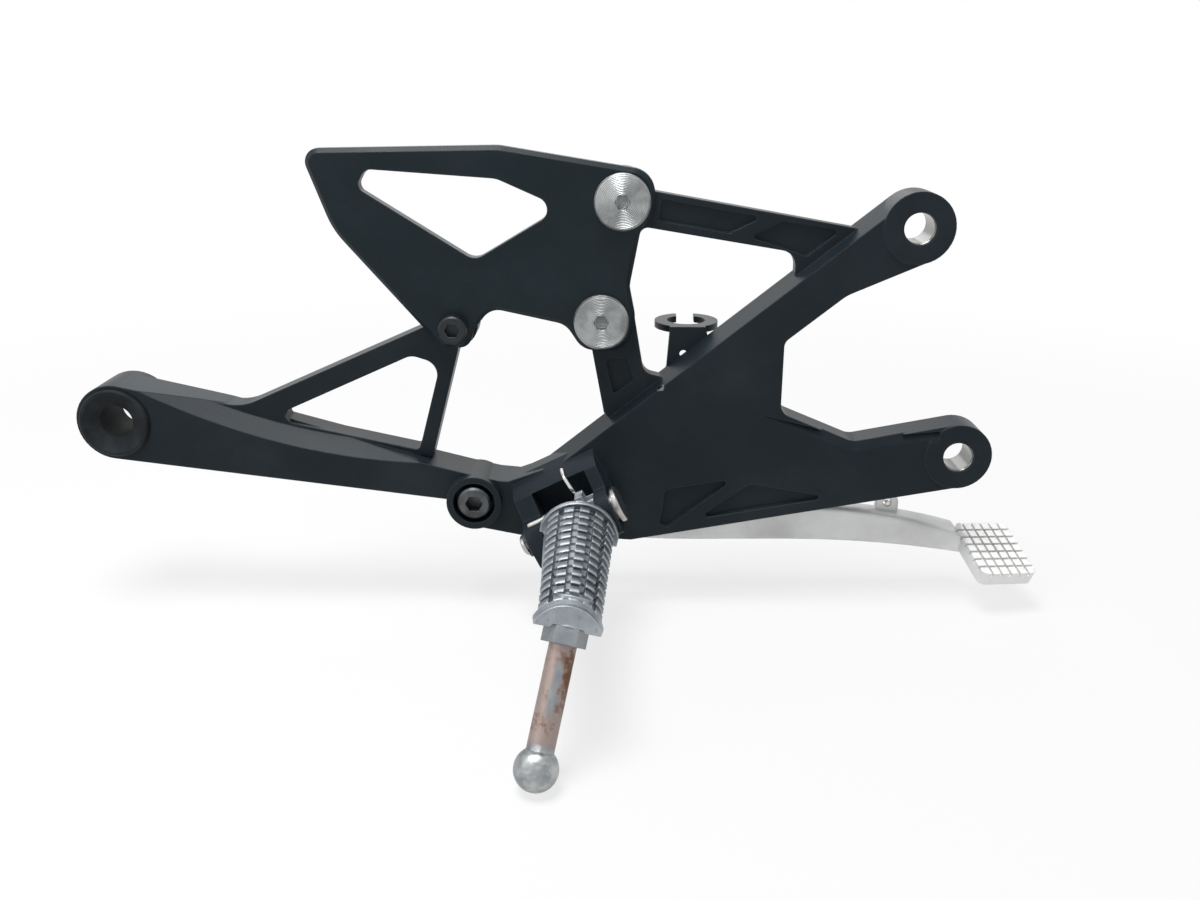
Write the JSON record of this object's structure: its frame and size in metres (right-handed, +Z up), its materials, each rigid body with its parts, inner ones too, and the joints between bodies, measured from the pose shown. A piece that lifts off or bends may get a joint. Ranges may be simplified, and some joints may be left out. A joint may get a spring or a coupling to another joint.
{
  "type": "motorcycle footpeg",
  "caption": "Right-hand rider footrest set: black cast bracket with frame lugs and heel guard, folding toothed aluminium peg with feeler bolt, and brake pedal with toothed toe pad.",
  "frame": {"origin": "axis of the upper frame bolt's bore, on the bracket's inboard mounting face", "axes": "+X forward on the motorcycle, +Y inboard towards the frame, +Z up"},
  "size_m": [0.375, 0.1646, 0.1801],
  "materials": {
    "black_casting": "satin black paint on cast aluminium",
    "black_plate": "satin black paint on aluminium plate",
    "turned_steel": "turned stainless steel",
    "black_steel": "black oxide",
    "zinc_steel": "zinc plated",
    "spring_wire": "bright drawn wire",
    "rusty_steel": "worn zinc with rust",
    "grommet_rubber": "matt",
    "peg_casting": "worn raw casting",
    "pedal_casting": "bead-blasted silver",
    "bush_bronze": "sintered bronze"
  },
  "bodies": {
    "bracket": {"footrest_bracket": "black_casting", "heel_guard": "black_plate", "heel_guard_bolts": "turned_steel", "heel_guard_screw": "black_steel", "rear_lug_grommet": "grommet_rubber", "pedal_pivot_sleeve": "zinc_steel", "pedal_thrust_washer": "zinc_steel", "pedal_pivot_bolt": "zinc_steel", "hinge_pin": "turned_steel", "pin_washer": "zinc_steel", "pin_clip": "zinc_steel", "peg_return_spring": "spring_wire", "pedal_return_spring": "spring_wire", "stop_switch_stay": "black_steel", "stay_screw": "zinc_steel"},
    "peg": {"footpeg": "peg_casting", "feeler_bolt": "rusty_steel"},
    "pedal": {"brake_pedal": "pedal_casting", "pedal_bush": "bush_bronze"}
  },
  "joints": [
    {"name": "peg_fold", "type": "hinge", "parent": "bracket", "child": "peg", "pos_m": [-0.1236, -0.026, -0.11], "axis": [-0.8988, 0, -0.4384], "range_deg": [0, 45], "stiffness_Nm_per_rad": 0.6, "springref_deg": -34.38, "deforming": ["peg_return_spring"]},
    {"name": "pedal_swing", "type": "hinge", "parent": "bracket", "child": "pedal", "pos_m": [-0.164, 0.0036, -0.1065], "axis": [0, 1, 0], "range_deg": [0, 10], "stiffness_Nm_per_rad": 6, "springref_deg": -17.19, "deforming": ["pedal_return_spring"]}
  ]
}
